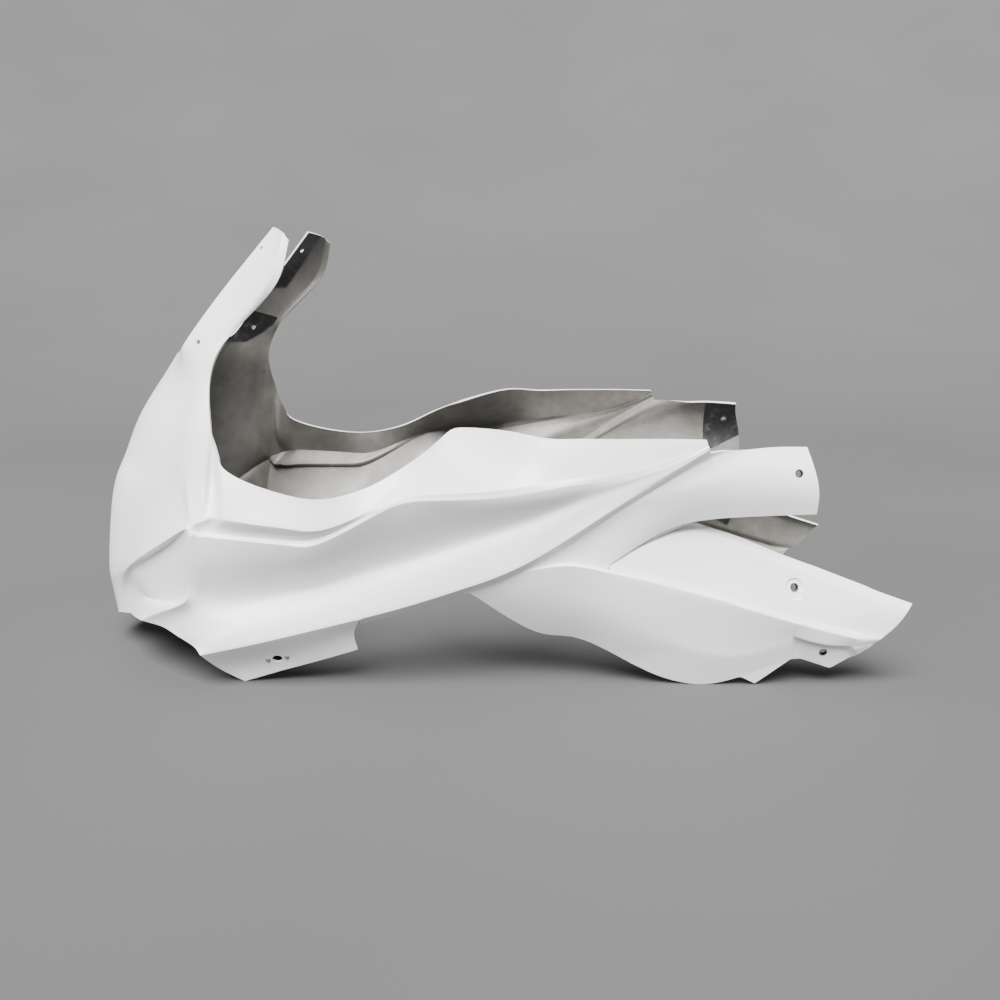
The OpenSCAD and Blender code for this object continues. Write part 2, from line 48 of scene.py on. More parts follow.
# Feature lines of the moulding's left side, from the nose to the tail.
# A station is (x, half width, z) in mm, and the right side mirrors it.
lines = {
    # Arms, from the top down to the bottom of the screen opening: front edge to rear edge
    "armTop": [(-219, 106, 484), (-210, 122, 481), (-203, 136, 477), (-197, 141, 470)],
    "arm4": [(-229, 109, 472), (-217, 126, 468), (-207, 142, 462), (-200, 145, 454)],
    "arm3": [(-248, 114, 449), (-235, 129, 445), (-215, 147, 436), (-208, 148, 430)],
    "arm2": [(-273, 118, 419), (-259, 129, 415), (-237, 143, 408), (-230, 142, 404)],
    "arm1": [(-299, 121, 386), (-285, 131, 382), (-268, 140, 378), (-260, 141, 375)],
    # Front panel and side, from the screen opening down to the side's lower edge
    "opening": [(-352, 0, 345), (-341, 62, 348), (-326, 103, 354), (-317, 121, 362),
        (-300, 135, 355), (-287, 143, 350), (-276, 148, 353)],
    "brow": [(-371, 0, 317), (-359, 65, 319), (-335, 105, 321), (-317, 127, 322),
        (-299.5, 145.3, 320), (-290, 152, 319), (-284, 152, 322)],
    "rim": [(-401, 0, 272), (-386.3, 70, 274), (-352, 118, 275), (-328, 140, 276),
        (-306.5, 161.3, 278), (-297, 168.3, 277), (-280.5, 170, 286), (-277.3, 175, 266),
        (-271, 182.5, 249.5), (-262, 188, 238), (-234, 198, 226), (-195, 210, 217),
        (-159, 219, 215), (-116, 213, 225), (-82, 199, 242), (-55, 168, 257), (-29, 121, 272),
        (27, 182, 279), (65, 206, 275), (98, 209, 275), (130, 211, 275), (190, 210, 275),
        (227, 209, 274)],
    "shoulder": [(-418, 0, 228), (-405.7, 70, 228), (-358, 128, 226), (-335, 149, 229),
        (-314.5, 168.3, 231), (-304, 177.3, 229), (-285, 187, 225), (-281, 177, 223),
        (-269, 193, 222), (-258, 198, 218), (-231, 207, 208), (-193, 215, 204), (-157, 221, 203),
        (-112, 219, 214), (-80, 210, 229), (-52, 190, 240), (-22, 160, 252), (30, 200, 256),
        (70, 214, 258), (100, 215, 259), (131, 215, 260), (188, 212, 267), (228, 209.5, 272.5)],
    "upperCrease": [(-433, 0, 188), (-422.5, 70, 190), (-371, 124, 193), (-342, 149, 199),
        (-313, 178, 192), (-300, 196, 190), (-287, 200, 187), (-275, 201, 192), (-266, 206, 191),
        (-257, 210, 191), (-228, 217, 188), (-192, 222, 185), (-156, 225, 185), (-108, 225, 206),
        (-78, 225, 218), (-48, 225, 222), (-11, 225, 224), (33, 225, 229), (79, 222, 236),
        (107, 221, 239), (135, 219, 243), (185, 214, 255), (228.5, 210, 271)],
    "groove": [(-449, 0, 106), (-436, 58, 108), (-404, 99, 110), (-368, 142, 137),
        (-324, 183, 167), (-301, 202, 181), (-293, 194, 176), (-285, 194, 175), (-277, 195, 173),
        (-261, 200, 173), (-232, 206, 172), (-194, 212, 171), (-161, 217, 176), (-108, 225.9, 202),
        (-77, 226.4, 215), (-47, 226.4, 218.5), (-11, 226.5, 220), (33, 226.5, 224.5),
        (79, 224.5, 232), (107, 222.4, 235.5), (135, 219.8, 239), (185, 215, 252),
        (228.8, 210, 270)],
    "lowerCrease": [(-300, 203, 172), (-291, 203, 172), (-284, 203, 172), (-275, 204, 171),
        (-259, 206, 170), (-231, 211, 168), (-194, 216, 166), (-163, 220, 169), (-108, 226, 198),
        (-76, 227, 212), (-46, 227, 215), (-10, 227, 216), (33, 227, 220), (78, 226, 228),
        (107, 223, 232), (135, 220, 235), (185, 215.5, 249), (229, 210, 269)],
    "flank": [(-304, 196, 140), (-296, 196, 139), (-288, 196, 139), (-278, 196, 139),
        (-259, 197, 138), (-231, 200, 139), (-197, 204, 141), (-164, 207, 146), (-115, 211, 170),
        (-76, 214, 184), (-40, 216, 195), (-6, 219, 201), (33, 221, 207), (76, 222, 216),
        (105, 221, 224), (135, 219.5, 230), (187, 216, 247), (229.5, 210, 268)],
    "hollow": [(-309, 190, 111), (-301, 187, 106), (-294, 184, 104), (-285, 182, 100),
        (-265, 181, 100), (-237, 181, 103), (-202, 183, 110), (-168, 186, 117), (-118, 190, 136),
        (-78, 194, 148), (-34, 198, 163), (-2, 202, 174), (35, 207, 187), (74, 213, 202),
        (104, 217, 214), (136, 218, 225), (188, 216, 245), (230, 211, 267)],
    "flare": [(-316, 190, 96), (-310, 188, 91), (-303, 187, 85), (-292, 187, 81), (-271, 187, 79),
        (-239, 188, 86), (-202, 190, 96), (-168, 192, 106), (-121, 196, 121), (-77, 200, 135),
        (-28, 204, 152), (2, 208, 163), (35, 211, 175), (71, 215, 190), (103, 217, 205),
        (136, 218, 218), (188, 216, 242), (230, 211, 266)],
    "skirt": [(-348, 163, 78), (-336, 169, 73), (-323, 178, 69), (-308, 186, 64), (-290, 192, 58),
        (-267, 196, 63), (-222, 198, 76), (-179, 200, 88), (-123, 203, 103), (-76, 206, 116),
        (-22, 209, 134), (6, 212, 145), (36, 214, 157), (67, 216, 173), (101, 217, 192),
        (136, 218, 213), (189, 216, 240), (231, 211, 265)],
    "edge": [(-383, 124, 55), (-366, 140, 57), (-346, 158, 58), (-327, 175, 54), (-308, 186, 47),
        (-299, 193, 39), (-244, 200, 53), (-190, 203, 67), (-127, 205, 83), (-74, 207, 99),
        (-16, 210, 119), (10, 213, 129), (36, 215, 141), (63, 216, 156), (99, 218, 180),
        (136, 218, 205), (189, 215, 238), (231, 211, 264)],
    # Joggle under the side's lower edge, which the tail and the lower panel start from
    "step": [(-129, 190, 73), (-76, 195, 89), (-13, 200, 111), (14, 203, 122), (40, 206, 134),
        (67, 208, 149), (104, 210, 175), (140, 210, 200), (193, 208, 234), (233, 206, 260)],
    # Nose below the duct pocket's edge
    "noseMid": [(-451, 0, 74), (-440, 47, 77), (-420, 73, 80)],
    "noseLow": [(-448, 0, 24), (-441, 30, 32), (-433, 50, 40)],
    # Duct pocket beside the nose, from the bottom up: foot of its overhang and of its ledge
    "pocketRoot": [(-414, 68, 45), (-408, 79, 82), (-396, 101, 106), (-361, 139, 132),
        (-319, 180, 161)],
    "pocketFloor": [(-400, 92, 48), (-383, 108, 77), (-357, 138, 79), (-319, 175, 102),
        (-312, 188, 140)],
    # Fixing tab under the side
    "tabMid": [(-284, 175, 17), (-237, 180, 30), (-188, 185, 43), (-135, 190, 63)],
    "tabLow": [(-259, 168, 0), (-217, 172, 14), (-175, 176, 27), (-133, 180, 41)],
    # Rear tail, from its top edge down
    "tailTop": [(233, 206, 260), (250, 199, 261), (262, 195, 261), (277, 190, 261),
        (294, 186, 262), (315, 181, 262), (338, 176, 261)],
    "tail2": [(193, 208, 234), (216, 206, 243), (231, 204, 246), (253, 201, 247), (279, 198, 248),
        (309, 194, 248), (341, 190, 247)],
    "tail3": [(140, 210, 200), (165, 210, 212), (184, 209, 218), (215, 207, 226), (255, 204, 231),
        (300, 200, 232), (345, 196, 231)],
    "tail4": [(104, 210, 175), (130, 209, 184), (150, 208, 190), (192, 205, 203), (235, 202, 210),
        (290, 200, 214), (348, 196, 213)],
    "tailLow": [(67, 208, 149), (100, 207, 149), (132, 206, 142), (170, 200, 166), (216, 195, 185),
        (284, 193, 191), (348, 191, 193)],
    # Lower panel, from its top edge down past its ridge to the recessed pad and the low edge
    "panelTop": [(136, 202, 148), (171, 194, 163), (220, 177, 180), (268, 173, 166),
        (311, 172, 148), (351, 172, 133), (359, 172, 130), (387, 172, 119), (413, 173, 109),
        (422, 174, 105), (460, 178, 92)],
    "panelLip": [(136, 203, 146.5), (174, 197, 159), (221, 186, 173), (267, 182, 159),
        (308, 181, 141), (347, 181, 125), (354, 181, 122), (381, 181, 111), (407, 182, 101),
        (416, 182, 98), (453, 184, 84)],
    "panelValley": [(135, 204, 144.5), (176, 200, 145), (222, 194, 142), (262, 191, 131),
        (303, 190, 116), (342, 189, 103), (349, 189, 100), (377, 188, 90), (400, 187, 83),
        (408, 187, 81), (443, 185, 70)],
    "ridgeTop": [(67, 208, 149), (100, 207, 149), (132, 206, 142), (175, 203.8, 132),
        (213, 202, 121), (250, 201, 110), (285, 200, 99), (330, 197, 85), (338, 196, 83),
        (368, 193, 74), (393, 190, 67.5), (402, 188.8, 65), (431, 186, 59)],
    "ridgeLow": [(40, 206, 134), (88, 211, 143), (131, 210, 135), (175, 209, 124), (213, 208, 113),
        (250, 207, 103), (285, 206, 92), (330, 203, 78), (338, 202, 76), (367, 199, 67),
        (392, 195.5, 60), (400, 194, 58), (425, 188, 55)],
    "panelMid": [(14, 203, 122), (75, 196, 98), (115, 199, 92), (160, 199, 76), (203, 197, 62),
        (244, 195, 52), (283, 194, 49), (328, 197, 62), (336, 196.5, 60), (365, 195, 52),
        (390, 191, 49), (398, 190, 47), (420, 187, 51)],
    "padLine": [(-13, 200, 111), (57, 173, 59), (101, 176, 54), (151, 177, 30), (200, 191, 44),
        (243, 191, 36), (282, 191, 37), (329, 194, 53), (338, 190, 54), (366, 188, 47),
        (389, 185, 43), (399, 189, 44), (419, 187, 50)],
    "panelLow": [(172, 177, 19), (200, 177, 7), (241, 177, 0), (279, 181, 10), (331, 186, 32),
        (344, 181, 31), (376, 179, 20), (396, 180, 32), (404, 184, 37), (416, 186, 46)],
    "bellyTab": [(296, 179, 2), (307, 181, 11)],
}


def partOf(name, first, last):
    return lines[name][first:last + 1]


def across(names, i):
    return [lines[name][i] for name in names]


pocketLip = across(("edge", "skirt", "flare", "hollow", "flank"), 0)
pocketBrow = [lines["noseLow"][2], lines["noseMid"][2]] + partOf("groove", 2, 4)

# Blocks of the surface: each is a list of lines with as many stations in each
blocks = {
    "arm": [lines["armTop"], lines["arm4"], lines["arm3"], lines["arm2"], lines["arm1"],
            partOf("opening", 3, 6)],
    "brow": [lines["opening"], lines["brow"], partOf("rim", 0, 6)],
    "side": [lines["rim"], lines["shoulder"], lines["upperCrease"], lines["groove"]],
    "nose": [partOf("groove", 0, 2), lines["noseMid"], lines["noseLow"]],
    "flank": [partOf("groove", 5, 22), lines["lowerCrease"], lines["flank"], lines["hollow"],
              lines["flare"], lines["skirt"], lines["edge"]],
    "pocket": [pocketBrow, lines["pocketRoot"], lines["pocketFloor"], pocketLip],
    "pocketEndTop": [partOf("groove", 4, 5), [lines["pocketRoot"][4], lines["lowerCrease"][0]]],
    "pocketEndLow": [[lines["pocketRoot"][4], lines["lowerCrease"][0]],
                     [lines["pocketFloor"][4], lines["flank"][0]]],
    "joggle": [partOf("edge", 8, 17), lines["step"]],
    "tab": [partOf("edge", 5, 8), lines["tabMid"], lines["tabLow"]],
    "tail": [lines["tailTop"], lines["tail2"], lines["tail3"], lines["tail4"], lines["tailLow"]],
    "panelLow": [lines["ridgeTop"], lines["ridgeLow"], lines["panelMid"], lines["padLine"]],
    "panelHem": [partOf("padLine", 3, 12), lines["panelLow"]],
    "panelTop": [lines["panelTop"], lines["panelLip"], lines["panelValley"],
                 partOf("ridgeTop", 2, 12)],
    "bellyTab": [partOf("panelLow", 3, 4), lines["bellyTab"]],
}
blockNames = list(blocks)

# Lines that stay creases, each with its crease weight
creases = [
    (partOf("groove", 2, 5), 0.62),
    ([lines["groove"][2], lines["noseMid"][2], lines["noseLow"][2]], 0.55),
    (partOf("upperCrease", 5, 17), 0.6),
    (partOf("groove", 6, 17), 0.6),
    (partOf("lowerCrease", 0, 17), 0.6),
    (partOf("upperCrease", 17, 20), 0.45),
    (partOf("groove", 17, 20), 0.45),
    (partOf("lowerCrease", 17, 20), 0.45),
    (lines["edge"], 0.66),
    (lines["step"], 0.6),
    (lines["pocketRoot"], 0.6),
    (partOf("pocketFloor", 0, 3), 0.55),
    (pocketLip + [lines["lowerCrease"][0]], 0.6),
    (partOf("ridgeTop", 3, 11), 0.5),
    (partOf("ridgeLow", 0, 11), 0.6),
    (across(("armTop", "arm4", "arm3", "arm2"), 2), 0.55),
    (across(("brow", "rim", "shoulder", "upperCrease"), 4), 0.6),
    (across(("brow", "rim", "shoulder", "upperCrease"), 5), 0.6),
    (across(("shoulder", "upperCrease"), 6), 0.45),
    (partOf("panelLip", 1, 9), 0.6),
    (partOf("panelMid", 7, 11), 0.55),
    (partOf("padLine", 8, 10), 0.55),
    (partOf("panelLow", 3, 4), 0.6),
    ([lines["panelMid"][7], lines["padLine"][7], lines["panelLow"][4]], 0.55),
    ([lines["padLine"][8], lines["panelLow"][5]], 0.6),
    ([lines["padLine"][10], lines["panelLow"][7]], 0.6),
    ([lines["panelMid"][11], lines["padLine"][11], lines["panelLow"][8]], 0.55),
]

# Stations that stay corners of the outline, each with its crease weight
outlineCorners = [(lines["panelTop"][2], 0.7), (lines["rim"][16], 0.4),
                  (lines["panelLow"][6], 0.7)]


# Linear colour of an sRGB hex colour
def linear(hexColour):
    parts = [int(hexColour[i:i + 2], 16) / 255 for i in (1, 3, 5)]
    return [c / 12.92 if c <= 0.04045 else ((c + 0.055) / 1.055) ** 2.4 for c in parts] + [1]


# Adds a node. An input is a value, a socket or a node, which stands for its first output in use.
# The setting "stops" fills a colour ramp with (place, hex colour or grey level).
def addNode(tree, kind, settings=None, inputs=None):
    node = tree.nodes.new(kind)
    for name, value in (settings or {}).items():
        if name != "stops":
            setattr(node, name, value)
            continue
        points = node.color_ramp.elements
        while len(points) < len(value):
            points.new(0.5)
        for point, (position, colour) in zip(points, value):
            point.position = position
            point.color = linear(colour) if isinstance(colour, str) else [colour] * 3 + [1]
    for name, value in (inputs or {}).items():
        if isinstance(value, bpy.types.Node):
            value = next(output for output in value.outputs if output.enabled)
        if isinstance(value, bpy.types.NodeSocket):
            tree.links.new(value, node.inputs[name])
        else:
            node.inputs[name].default_value = value
    return node


def newMaterial(name):
    material = bpy.data.materials.new(name)
    material.use_nodes = True
    material.node_tree.nodes.clear()
    place = addNode(material.node_tree, "ShaderNodeTexCoord").outputs["Object"]
    return material, material.node_tree, place


# Ends a material with its shader, whose relief runs from 0 to 1 over depth mm
def finishMaterial(tree, inputs, height=None, depth=0):
    if height:
        relief = {"Height": height, "Distance": depth * mm}
        inputs["Normal"] = addNode(tree, "ShaderNodeBump", {}, relief)
    shader = addNode(tree, "ShaderNodeBsdfPrincipled", {}, inputs)
    addNode(tree, "ShaderNodeOutputMaterial", {}, {"Surface": shader})


# Inputs of a noise whose largest features are about size mm across
def grain(place, size, detail=3, rough=0.5):
    return {"Vector": place, "Scale": 1 / (size * mm), "Detail": detail, "Roughness": rough}


def makeGelcoat():
    # White gel-coat as it leaves the mould: satin, with a faint waviness
    material, tree, place = newMaterial("white gelcoat")
    cloud = addNode(tree, "ShaderNodeTexNoise", {}, grain(place, 90, 3, 0.55))
    tint = addNode(tree, "ShaderNodeValToRGB", {"stops": [(0.3, "#eeefef"), (0.7, "#f5f5f5")]},
                   {"Fac": cloud})
    smear = addNode(tree, "ShaderNodeTexNoise", {}, grain(place, 35, 4, 0.6))
    sheen = addNode(tree, "ShaderNodeValToRGB", {"stops": [(0.3, 0.33), (0.7, 0.43)]},
                    {"Fac": smear})
    ripple = addNode(tree, "ShaderNodeTexNoise", {}, grain(place, 2.5, 2))
    faint = addNode(tree, "ShaderNodeMath", {"operation": "MULTIPLY"}, {0: ripple, 1: 0.06})
    wave = addNode(tree, "ShaderNodeTexNoise", {}, grain(place, 60, 2))
    relief = addNode(tree, "ShaderNodeMath", {"operation": "ADD"}, {0: wave, 1: faint})
    finishMaterial(tree, {"Base Color": tint, "Roughness": sheen, "Specular IOR Level": 0.5,
                          "Coat Weight": 0.2, "Coat Roughness": 0.22}, relief, 0.22)
    return material


def makeLaminate():
    # Raw inside of the hand-laid laminate: resin over glass cloth, stained and a little shiny
    material, tree, place = newMaterial("glass-fibre laminate")
    stain = addNode(tree, "ShaderNodeTexNoise", {}, grain(place, 110, 4, 0.6))
    tone = addNode(tree, "ShaderNodeValToRGB",
                   {"stops": [(0.34, "#5c5852"), (0.48, "#706d68"), (0.64, "#868480")]},
                   {"Fac": stain})
    dust = addNode(tree, "ShaderNodeTexNoise", {}, grain(place, 14, 5, 0.65))
    grey = addNode(tree, "ShaderNodeValToRGB", {"stops": [(0.35, "#615e59"), (0.65, "#82807c")]},
                   {"Fac": dust})
    resin = addNode(tree, "ShaderNodeMix", {"data_type": "RGBA"}, {0: 0.4, 6: tone, 7: grey})

    pitch = 2  # mm from yarn to yarn of a plain weave: the real 1.5 mm is too fine to show
    x, y, z = addNode(tree, "ShaderNodeSeparateXYZ", {}, {"Vector": place}).outputs
    lean = addNode(tree, "ShaderNodeMath", {"operation": "MULTIPLY"}, {0: y, 1: 0.35})
    yarns = []
    for axis in (x, z):
        run = addNode(tree, "ShaderNodeMath", {"operation": "ADD"}, {0: axis, 1: lean})
        turns = addNode(tree, "ShaderNodeMath", {"operation": "MULTIPLY"},
                        {0: run, 1: math.pi / (pitch * mm)})
        yarns.append(addNode(tree, "ShaderNodeMath", {"operation": "SINE"}, {0: turns}))
    cloth = addNode(tree, "ShaderNodeMath", {"operation": "MULTIPLY"}, {0: yarns[0], 1: yarns[1]})
    thread = addNode(tree, "ShaderNodeValToRGB", {"stops": [(0.0, "#5b5853"), (1.0, "#86847f")]},
                     {"Fac": cloth})
    colour = addNode(tree, "ShaderNodeMix", {"data_type": "RGBA"}, {0: 0.18, 6: resin, 7: thread})

    smear = addNode(tree, "ShaderNodeTexNoise", {}, grain(place, 45, 3))
    sheen = addNode(tree, "ShaderNodeValToRGB", {"stops": [(0.3, 0.34), (0.7, 0.56)]},
                    {"Fac": smear})
    weft = addNode(tree, "ShaderNodeMath", {"operation": "MULTIPLY"}, {0: cloth, 1: 0.14})
    lumps = addNode(tree, "ShaderNodeTexNoise", {}, grain(place, 9, 4, 0.6))
    relief = addNode(tree, "ShaderNodeMath", {"operation": "ADD"}, {0: weft, 1: lumps})
    finishMaterial(tree, {"Base Color": colour, "Roughness": sheen, "Specular IOR Level": 0.5},
                   relief, 0.45)
    return material


def makeCutEdge():
    # Trimmed edge of the laminate: matt, pale where the gel-coat ends
    material, tree, place = newMaterial("trimmed laminate edge")
    saw = addNode(tree, "ShaderNodeTexNoise", {}, grain(place, 3))
    tint = addNode(tree, "ShaderNodeValToRGB", {"stops": [(0.3, "#d4d4d1"), (0.7, "#e4e4e2")]},
                   {"Fac": saw})
    finishMaterial(tree, {"Base Color": tint, "Roughness": 0.55, "Specular IOR Level": 0.4},
                   saw, 0.05)
    return material


def makeCarbon():
    # Carbon twill, black with a faint shine, under a thin and uneven coat of resin
    material, tree, place = newMaterial("carbon twill")
    pitch = 2.6  # mm from one diagonal rib to the next
    x, _, z = addNode(tree, "ShaderNodeSeparateXYZ", {}, {"Vector": place}).outputs
    diagonal = addNode(tree, "ShaderNodeMath", {"operation": "ADD"}, {0: x, 1: z})
    turns = addNode(tree, "ShaderNodeMath", {"operation": "MULTIPLY"},
                    {0: diagonal, 1: 2 * math.pi / (pitch * mm)})
    twill = addNode(tree, "ShaderNodeMath", {"operation": "SINE"}, {0: turns})
    yarn = addNode(tree, "ShaderNodeValToRGB", {"stops": [(0.0, "#141415"), (1.0, "#333335")]},
                   {"Fac": twill})
    patchy = addNode(tree, "ShaderNodeTexNoise", {}, grain(place, 11, 5, 0.7))
    cover = addNode(tree, "ShaderNodeValToRGB", {"stops": [(0.52, 0), (0.72, 0.55)]},
                    {"Fac": patchy})
    cloudy = addNode(tree, "ShaderNodeTexNoise", {}, grain(place, 3, 4, 0.6))
    resin = addNode(tree, "ShaderNodeValToRGB", {"stops": [(0.3, "#3a3a3b"), (0.7, "#7b7b79")]},
                    {"Fac": cloudy})
    colour = addNode(tree, "ShaderNodeMix", {"data_type": "RGBA"}, {0: cover, 6: yarn, 7: resin})
    smear = addNode(tree, "ShaderNodeTexNoise", {}, grain(place, 6, 4))
    sheen = addNode(tree, "ShaderNodeValToRGB", {"stops": [(0.3, 0.3), (0.7, 0.5)]},
                    {"Fac": smear})
    finishMaterial(tree, {"Base Color": colour, "Roughness": sheen, "Specular IOR Level": 0.5,
                          "Coat Weight": 0.25, "Coat Roughness": 0.25}, twill, 0.08)
    return material


def makeInsertMetal(middle, axis, boreSize):
    # Turned steel, plated and finely scratched; the walls inside its bore are painted near black
    # as shade, over their oiled thread
    material, tree, place = newMaterial("plated steel insert")
    shadeReach = 0.12  # mm by which the dark reaches past the bore's wall
    apart = addNode(tree, "ShaderNodeVectorMath", {"operation": "SUBTRACT"}, {0: place, 1: middle})
    lever = addNode(tree, "ShaderNodeVectorMath", {"operation": "CROSS_PRODUCT"},
                    {0: apart, 1: axis})
    reach = addNode(tree, "ShaderNodeVectorMath", {"operation": "LENGTH"}, {0: lever})
    outside = addNode(tree, "ShaderNodeMath", {"operation": "GREATER_THAN"},
                      {0: reach, 1: (boreSize / 2 + shadeReach) * mm})
    scratch = addNode(tree, "ShaderNodeTexNoise", {}, grain(place, 1.2, 4, 0.6))
    metal = addNode(tree, "ShaderNodeValToRGB", {"stops": [(0.3, "#8f8d88"), (0.7, "#b9b8b4")]},
                    {"Fac": scratch})
    # Painted shade on the walls inside the bore: near black over the oiled thread, reaching a
    # little past the wall
    shadeGrain = addNode(tree, "ShaderNodeTexNoise", {}, grain(place, 0.8, 2))
    boreShade = addNode(tree, "ShaderNodeValToRGB", {"stops": [(0.3, "#0f0f10"), (0.7, "#232324")]},
                  {"Fac": shadeGrain})
    colour = addNode(tree, "ShaderNodeMix", {"data_type": "RGBA"}, {0: outside, 6: boreShade, 7: metal})
    sheen = addNode(tree, "ShaderNodeValToRGB", {"stops": [(0.3, 0.28), (0.7, 0.42)]},
                    {"Fac": scratch})
    finishMaterial(tree, {"Base Color": colour, "Roughness": sheen, "Metallic": 1.0},
                   scratch, 0.02)
    return material


# One finish whose colour and roughness follow a single fine grain, for the small metal parts
def makeWornMetal(name, grainInputs, colours, roughness, metallic, depth):
    material, tree, place = newMaterial(name)
    scratch = addNode(tree, "ShaderNodeTexNoise", {}, grain(place, *grainInputs))
    tint = addNode(tree, "ShaderNodeValToRGB", {"stops": colours}, {"Fac": scratch})
    sheen = addNode(tree, "ShaderNodeValToRGB", {"stops": roughness}, {"Fac": scratch})
    finishMaterial(tree, {"Base Color": tint, "Roughness": sheen, "Metallic": metallic},
                   scratch, depth)
    return material


def makeFloor():
    # Painted studio floor and wall, plain and matt
    material, tree, place = newMaterial("pale studio paint")
    cloud = addNode(tree, "ShaderNodeTexNoise", {}, grain(place, 900, 2))
    tint = addNode(tree, "ShaderNodeValToRGB", {"stops": [(0.3, "#535353"), (0.7, "#575757")]},
                   {"Fac": cloud})
    finishMaterial(tree, {"Base Color": tint, "Roughness": 0.8, "Specular IOR Level": 0.2})
    return material


print("materials")
gelcoat = makeGelcoat()
laminate = makeLaminate()
cutEdge = makeCutEdge()
carbon = makeCarbon()
# Drawn aluminium, dull grey from its oxide and finely scratched
rivetMetal = makeWornMetal("aluminium rivet", (1.2, 4, 0.6), [(0.3, "#a2a2a2"), (0.7, "#c4c4c4")],
                           [(0.3, 0.32), (0.7, 0.46)], 1.0, 0.02)
# Pressed steel, zinc-plated under black passivation: near black, satin, a little worn
blackPlate = makeWornMetal("black passivated steel", (2.5, 4, 0.6),
                           [(0.35, "#141415"), (0.7, "#242425")],
                           [(0.3, 0.32), (0.7, 0.48)], 0.6, 0.03)


# User settings of the moulding, in mm and degrees
shell = {
    "middleX": 3.5,  # x of the feature lines that lies at the frame's middle
    "wall": 2.5,
    "levels": 3,
    "fitRounds": 3,
    "holes": {"screen_top": 5.5, "screen_low": 5.5, "tail_insert": 9.05, "panel_insert": 9.05,
              "pad_insert": 9.05, "receptacle": 11},
    "holeCut": 30,
    "roundSteps": 32,
    "rivetPitch": 21,
    "rivetTilt": 12,
    "rivetHole": 3.25,
    "dishTop": 19,
    "dishLow": 15,
    "dishDepth": 1.7,
    "coneDepths": 3,  # height of the cones that cut the dish, in depths of it
    "notchWidth": 7.5,
    "notchDrop": 9,
    "notchAim": (0.25, 0, -1),
    "lookFrom": 20,  # height over a mount from which the skin is looked for
    "edgeRound": 0.8,
    "edgeSteps": 1,
    "edgeAngle": 24,
    "smoothAngle": 50,
}


def link(name, data):
    piece = bpy.data.objects.new(name, data)
    bpy.context.scene.collection.objects.link(piece)
    return piece


def stationPoint(station, side):
    return Vector(((station[0] - shell["middleX"]) * mm, side * station[1] * mm, station[2] * mm))


# Net of both sides, with a number on each face for its block and creases on its edges
def makeNet():
    net = bmesh.new()
    blockOf = net.faces.layers.int.new("block")
    weightOf = net.edges.layers.float.new("crease_edge")
    cornerOf = net.verts.layers.float.new("crease_vert")
    corners = {}

    def cornerAt(station, side):
        key = (station, side if station[1] else 0)
        if key not in corners:
            corners[key] = net.verts.new(stationPoint(station, side))
        return corners[key]

    for side in sides.values():
        for number, rows in enumerate(blocks.values()):
            for upper, lower in zip(rows, rows[1:]):
                for i in range(len(upper) - 1):
                    ring = [upper[i], lower[i], lower[i + 1], upper[i + 1]]
                    ring = [cornerAt(station, side) for station in ring]
                    face = net.faces.new(ring if side < 0 else ring[::-1])
                    face[blockOf] = number
                    face.smooth = True
        for line, weight in creases:
            for a, b in zip(line, line[1:]):
                net.edges.get((cornerAt(a, side), cornerAt(b, side)))[weightOf] = weight
        for station, weight in outlineCorners:
            cornerAt(station, side)[cornerOf] = weight
    mesh = bpy.data.meshes.new("mouldingNet")
    net.to_mesh(mesh)
    net.free()
    return mesh


def evaluated(piece):
    graph = bpy.context.evaluated_depsgraph_get()
    return bpy.data.meshes.new_from_object(piece.evaluated_get(graph), depsgraph=graph)


# Outer skin: the net is moved out until its smooth surface passes through the stations
def makeSkin():
    net = link("mouldingNet", makeNet())
    smooth = net.modifiers.new("smooth", "SUBSURF")
    smooth.boundary_smooth = "PRESERVE_CORNERS"
    smooth.levels = smooth.render_levels = 1
    goals = [v.co.copy() for v in net.data.vertices]
    for _ in range(shell["fitRounds"]):
        skin = evaluated(net)
        misses = [goal - skin.vertices[i].co for i, goal in enumerate(goals)]
        for v, miss in zip(net.data.vertices, misses):
            v.co += miss
        bpy.data.meshes.remove(skin)
    print("skin misses its stations by", round(max(m.length for m in misses) / mm, 2), "mm")
    smooth.levels = smooth.render_levels = shell["levels"]
    skin = evaluated(net)
    bpy.data.objects.remove(net)
    return skin


# Cuts cones out of a piece: each is a place, an axis, two diameters and a depth in mm
def cutCones(piece, cones):
    cutter = bmesh.new()
    for place, axis, outer, inner, depth in cones:
        turn = Vector((0, 0, 1)).rotation_difference(axis).to_matrix().to_4x4()
        turn.translation = place
        bmesh.ops.create_cone(cutter, cap_ends=True, segments=shell["roundSteps"],
                              radius1=inner / 2 * mm, radius2=outer / 2 * mm, depth=depth * mm,
                              matrix=turn)
    mesh = bpy.data.meshes.new("cutter")
    cutter.to_mesh(mesh)
    cutter.free()
    tool = link("cutter", mesh)
    cut = piece.modifiers.new("holes", "BOOLEAN")
    cut.object = tool
    cut.operation = "DIFFERENCE"
    cut.solver = "EXACT"
    return tool


# Turns the modifiers into mesh and removes the cutter
def settle(piece, tool=None):
    mesh = evaluated(piece)
    piece.modifiers.clear()
    piece.data = mesh
    if tool:
        bpy.data.objects.remove(tool)


mounts = {m["name"]: (Vector(m["pos_m"]), Vector(m["axis"])) for m in frame["record"]["mounts"]}


def rivetPlaces(side):
    place, axis = mounts["receptacle_" + side]
    tilt = math.radians(shell["rivetTilt"])
    along = Vector((math.cos(tilt), 0, math.sin(tilt)))
    along = (along - axis * along.dot(axis)).normalized()
    return [(place + along * end * shell["rivetPitch"] / 2 * mm, axis) for end in (-1, 1)]


